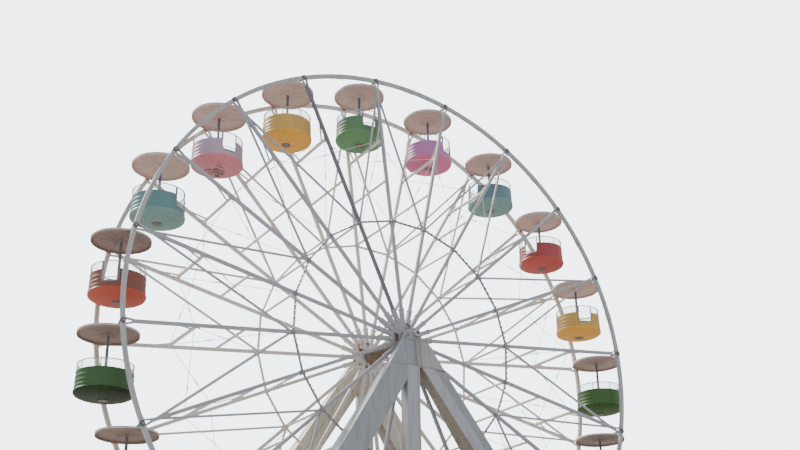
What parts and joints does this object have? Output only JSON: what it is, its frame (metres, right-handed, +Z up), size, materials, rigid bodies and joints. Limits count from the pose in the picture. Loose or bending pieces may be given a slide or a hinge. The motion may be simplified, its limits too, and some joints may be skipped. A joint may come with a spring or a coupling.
{
  "type": "ferris wheel",
  "caption": "Open-frame ferris wheel on two braced towers, with round open tubs under flat roofs that stay level as the wheel turns and can be turned on their poles.",
  "frame": {"origin": "on the ground, under the middle of the main shaft", "axes": "+X in the wheel's plane, to the right seen from the front; +Y along the shaft to the rear side; +Z up"},
  "size_m": [20.8976, 6.6442, 21.7585],
  "materials": {
    "wheel_paint": "weathered cream paint",
    "tower_paint": "weathered cream paint",
    "shaft_steel": "rusty steel",
    "roof_paint": "satin paint",
    "tub_green": "gloss paint",
    "tub_teal": "gloss paint",
    "tub_orange": "gloss paint",
    "tub_red": "gloss paint",
    "tub_pink": "gloss paint",
    "tub_lilac": "gloss paint",
    "tub_yellow": "gloss paint"
  },
  "bodies": {
    "towers": {"front_tower_head": "tower_paint", "front_bearing": "tower_paint", "front_left_leg": "tower_paint", "front_right_leg": "tower_paint", "front_post": "tower_paint", "rear_tower_head": "tower_paint", "rear_bearing": "tower_paint", "rear_left_leg": "tower_paint", "rear_right_leg": "tower_paint", "rear_post": "tower_paint"},
    "wheel": {"front_rim": "wheel_paint", "rear_rim": "wheel_paint", "front_spokes": "wheel_paint", "rear_spokes": "wheel_paint", "inner_cage": "wheel_paint", "outer_bracing": "wheel_paint", "main_shaft": "shaft_steel"},
    "cabin_01": {"canopy_01": "roof_paint"},
    "turning_tub_01": {"tub_01": "tub_yellow"},
    "cabin_02": {"canopy_02": "roof_paint"},
    "turning_tub_02": {"tub_02": "tub_green"},
    "cabin_03": {"canopy_03": "roof_paint"},
    "turning_tub_03": {"tub_03": "tub_orange"},
    "cabin_04": {"canopy_04": "roof_paint"},
    "turning_tub_04": {"tub_04": "tub_teal"},
    "cabin_05": {"canopy_05": "roof_paint"},
    "turning_tub_05": {"tub_05": "tub_pink"},
    "cabin_06": {"canopy_06": "roof_paint"},
    "turning_tub_06": {"tub_06": "tub_yellow"},
    "cabin_07": {"canopy_07": "roof_paint"},
    "turning_tub_07": {"tub_07": "tub_green"},
    "cabin_08": {"canopy_08": "roof_paint"},
    "turning_tub_08": {"tub_08": "tub_lilac"},
    "cabin_09": {"canopy_09": "roof_paint"},
    "turning_tub_09": {"tub_09": "tub_teal"},
    "cabin_10": {"canopy_10": "roof_paint"},
    "turning_tub_10": {"tub_10": "tub_red"},
    "cabin_11": {"canopy_11": "roof_paint"},
    "turning_tub_11": {"tub_11": "tub_yellow"},
    "cabin_12": {"canopy_12": "roof_paint"},
    "turning_tub_12": {"tub_12": "tub_green"},
    "cabin_13": {"canopy_13": "roof_paint"},
    "turning_tub_13": {"tub_13": "tub_orange"},
    "cabin_14": {"canopy_14": "roof_paint"},
    "turning_tub_14": {"tub_14": "tub_teal"},
    "cabin_15": {"canopy_15": "roof_paint"},
    "turning_tub_15": {"tub_15": "tub_pink"},
    "cabin_16": {"canopy_16": "roof_paint"},
    "turning_tub_16": {"tub_16": "tub_yellow"},
    "cabin_17": {"canopy_17": "roof_paint"},
    "turning_tub_17": {"tub_17": "tub_green"},
    "cabin_18": {"canopy_18": "roof_paint"},
    "turning_tub_18": {"tub_18": "tub_lilac"},
    "cabin_19": {"canopy_19": "roof_paint"},
    "turning_tub_19": {"tub_19": "tub_teal"},
    "cabin_20": {"canopy_20": "roof_paint"},
    "turning_tub_20": {"tub_20": "tub_red"}
  },
  "joints": [
    {"name": "wheel_spin", "type": "hinge", "parent": "towers", "child": "wheel", "pos_m": [0, 0, 12.1], "axis": [0, 1, 0], "continuous": true},
    {"name": "cabin_01_swing", "type": "hinge", "parent": "wheel", "child": "cabin_01", "pos_m": [-8.75635, 0, 8.16474], "axis": [0, 1, 0], "continuous": true},
    {"name": "tub_01_turn", "type": "hinge", "parent": "cabin_01", "child": "turning_tub_01", "pos_m": [-8.75635, 0, 8.16474], "axis": [0, 0, 1], "continuous": true},
    {"name": "cabin_02_swing", "type": "hinge", "parent": "wheel", "child": "cabin_02", "pos_m": [-9.54385, 0, 11.06321], "axis": [0, 1, 0], "continuous": true},
    {"name": "tub_02_turn", "type": "hinge", "parent": "cabin_02", "child": "turning_tub_02", "pos_m": [-9.54385, 0, 11.06321], "axis": [0, 0, 1], "continuous": true},
    {"name": "cabin_03_swing", "type": "hinge", "parent": "wheel", "child": "cabin_03", "pos_m": [-9.39713, 0, 14.06316], "axis": [0, 1, 0], "continuous": true},
    {"name": "tub_03_turn", "type": "hinge", "parent": "cabin_03", "child": "turning_tub_03", "pos_m": [-9.39713, 0, 14.06316], "axis": [0, 0, 1], "continuous": true},
    {"name": "cabin_04_swing", "type": "hinge", "parent": "wheel", "child": "cabin_04", "pos_m": [-8.33055, 0, 16.87095], "axis": [0, 1, 0], "continuous": true},
    {"name": "tub_04_turn", "type": "hinge", "parent": "cabin_04", "child": "turning_tub_04", "pos_m": [-8.33055, 0, 16.87095], "axis": [0, 0, 1], "continuous": true},
    {"name": "cabin_05_swing", "type": "hinge", "parent": "wheel", "child": "cabin_05", "pos_m": [-6.44852, 0, 19.21172], "axis": [0, 1, 0], "continuous": true},
    {"name": "tub_05_turn", "type": "hinge", "parent": "cabin_05", "child": "turning_tub_05", "pos_m": [-6.44852, 0, 19.21172], "axis": [0, 0, 1], "continuous": true},
    {"name": "cabin_06_swing", "type": "hinge", "parent": "wheel", "child": "cabin_06", "pos_m": [-3.93526, 0, 20.85635], "axis": [0, 1, 0], "continuous": true},
    {"name": "tub_06_turn", "type": "hinge", "parent": "cabin_06", "child": "turning_tub_06", "pos_m": [-3.93526, 0, 20.85635], "axis": [0, 0, 1], "continuous": true},
    {"name": "cabin_07_swing", "type": "hinge", "parent": "wheel", "child": "cabin_07", "pos_m": [-1.03679, 0, 21.64385], "axis": [0, 1, 0], "continuous": true},
    {"name": "tub_07_turn", "type": "hinge", "parent": "cabin_07", "child": "turning_tub_07", "pos_m": [-1.03679, 0, 21.64385], "axis": [0, 0, 1], "continuous": true},
    {"name": "cabin_08_swing", "type": "hinge", "parent": "wheel", "child": "cabin_08", "pos_m": [1.96316, 0, 21.49713], "axis": [0, 1, 0], "continuous": true},
    {"name": "tub_08_turn", "type": "hinge", "parent": "cabin_08", "child": "turning_tub_08", "pos_m": [1.96316, 0, 21.49713], "axis": [0, 0, 1], "continuous": true},
    {"name": "cabin_09_swing", "type": "hinge", "parent": "wheel", "child": "cabin_09", "pos_m": [4.77095, 0, 20.43055], "axis": [0, 1, 0], "continuous": true},
    {"name": "tub_09_turn", "type": "hinge", "parent": "cabin_09", "child": "turning_tub_09", "pos_m": [4.77095, 0, 20.43055], "axis": [0, 0, 1], "continuous": true},
    {"name": "cabin_10_swing", "type": "hinge", "parent": "wheel", "child": "cabin_10", "pos_m": [7.11172, 0, 18.54852], "axis": [0, 1, 0], "continuous": true},
    {"name": "tub_10_turn", "type": "hinge", "parent": "cabin_10", "child": "turning_tub_10", "pos_m": [7.11172, 0, 18.54852], "axis": [0, 0, 1], "continuous": true},
    {"name": "cabin_11_swing", "type": "hinge", "parent": "wheel", "child": "cabin_11", "pos_m": [8.75635, 0, 16.03526], "axis": [0, 1, 0], "continuous": true},
    {"name": "tub_11_turn", "type": "hinge", "parent": "cabin_11", "child": "turning_tub_11", "pos_m": [8.75635, 0, 16.03526], "axis": [0, 0, 1], "continuous": true},
    {"name": "cabin_12_swing", "type": "hinge", "parent": "wheel", "child": "cabin_12", "pos_m": [9.54385, 0, 13.13679], "axis": [0, 1, 0], "continuous": true},
    {"name": "tub_12_turn", "type": "hinge", "parent": "cabin_12", "child": "turning_tub_12", "pos_m": [9.54385, 0, 13.13679], "axis": [0, 0, 1], "continuous": true},
    {"name": "cabin_13_swing", "type": "hinge", "parent": "wheel", "child": "cabin_13", "pos_m": [9.39713, 0, 10.13684], "axis": [0, 1, 0], "continuous": true},
    {"name": "tub_13_turn", "type": "hinge", "parent": "cabin_13", "child": "turning_tub_13", "pos_m": [9.39713, 0, 10.13684], "axis": [0, 0, 1], "continuous": true},
    {"name": "cabin_14_swing", "type": "hinge", "parent": "wheel", "child": "cabin_14", "pos_m": [8.33055, 0, 7.32905], "axis": [0, 1, 0], "continuous": true},
    {"name": "tub_14_turn", "type": "hinge", "parent": "cabin_14", "child": "turning_tub_14", "pos_m": [8.33055, 0, 7.32905], "axis": [0, 0, 1], "continuous": true},
    {"name": "cabin_15_swing", "type": "hinge", "parent": "wheel", "child": "cabin_15", "pos_m": [6.44852, 0, 4.98828], "axis": [0, 1, 0], "continuous": true},
    {"name": "tub_15_turn", "type": "hinge", "parent": "cabin_15", "child": "turning_tub_15", "pos_m": [6.44852, 0, 4.98828], "axis": [0, 0, 1], "continuous": true},
    {"name": "cabin_16_swing", "type": "hinge", "parent": "wheel", "child": "cabin_16", "pos_m": [3.93526, 0, 3.34365], "axis": [0, 1, 0], "continuous": true},
    {"name": "tub_16_turn", "type": "hinge", "parent": "cabin_16", "child": "turning_tub_16", "pos_m": [3.93526, 0, 3.34365], "axis": [0, 0, 1], "continuous": true},
    {"name": "cabin_17_swing", "type": "hinge", "parent": "wheel", "child": "cabin_17", "pos_m": [1.03679, 0, 2.55615], "axis": [0, 1, 0], "continuous": true},
    {"name": "tub_17_turn", "type": "hinge", "parent": "cabin_17", "child": "turning_tub_17", "pos_m": [1.03679, 0, 2.55615], "axis": [0, 0, 1], "continuous": true},
    {"name": "cabin_18_swing", "type": "hinge", "parent": "wheel", "child": "cabin_18", "pos_m": [-1.96316, 0, 2.70287], "axis": [0, 1, 0], "continuous": true},
    {"name": "tub_18_turn", "type": "hinge", "parent": "cabin_18", "child": "turning_tub_18", "pos_m": [-1.96316, 0, 2.70287], "axis": [0, 0, 1], "continuous": true},
    {"name": "cabin_19_swing", "type": "hinge", "parent": "wheel", "child": "cabin_19", "pos_m": [-4.77095, 0, 3.76945], "axis": [0, 1, 0], "continuous": true},
    {"name": "tub_19_turn", "type": "hinge", "parent": "cabin_19", "child": "turning_tub_19", "pos_m": [-4.77095, 0, 3.76945], "axis": [0, 0, 1], "continuous": true},
    {"name": "cabin_20_swing", "type": "hinge", "parent": "wheel", "child": "cabin_20", "pos_m": [-7.11172, 0, 5.65148], "axis": [0, 1, 0], "continuous": true},
    {"name": "tub_20_turn", "type": "hinge", "parent": "cabin_20", "child": "turning_tub_20", "pos_m": [-7.11172, 0, 5.65148], "axis": [0, 0, 1], "continuous": true}
  ],
  "couplings": [
    {"joint": "cabin_01_swing", "follows": "wheel_spin", "ratio": -1},
    {"joint": "cabin_02_swing", "follows": "wheel_spin", "ratio": -1},
    {"joint": "cabin_03_swing", "follows": "wheel_spin", "ratio": -1},
    {"joint": "cabin_04_swing", "follows": "wheel_spin", "ratio": -1},
    {"joint": "cabin_05_swing", "follows": "wheel_spin", "ratio": -1},
    {"joint": "cabin_06_swing", "follows": "wheel_spin", "ratio": -1},
    {"joint": "cabin_07_swing", "follows": "wheel_spin", "ratio": -1},
    {"joint": "cabin_08_swing", "follows": "wheel_spin", "ratio": -1},
    {"joint": "cabin_09_swing", "follows": "wheel_spin", "ratio": -1},
    {"joint": "cabin_10_swing", "follows": "wheel_spin", "ratio": -1},
    {"joint": "cabin_11_swing", "follows": "wheel_spin", "ratio": -1},
    {"joint": "cabin_12_swing", "follows": "wheel_spin", "ratio": -1},
    {"joint": "cabin_13_swing", "follows": "wheel_spin", "ratio": -1},
    {"joint": "cabin_14_swing", "follows": "wheel_spin", "ratio": -1},
    {"joint": "cabin_15_swing", "follows": "wheel_spin", "ratio": -1},
    {"joint": "cabin_16_swing", "follows": "wheel_spin", "ratio": -1},
    {"joint": "cabin_17_swing", "follows": "wheel_spin", "ratio": -1},
    {"joint": "cabin_18_swing", "follows": "wheel_spin", "ratio": -1},
    {"joint": "cabin_19_swing", "follows": "wheel_spin", "ratio": -1},
    {"joint": "cabin_20_swing", "follows": "wheel_spin", "ratio": -1}
  ]
}
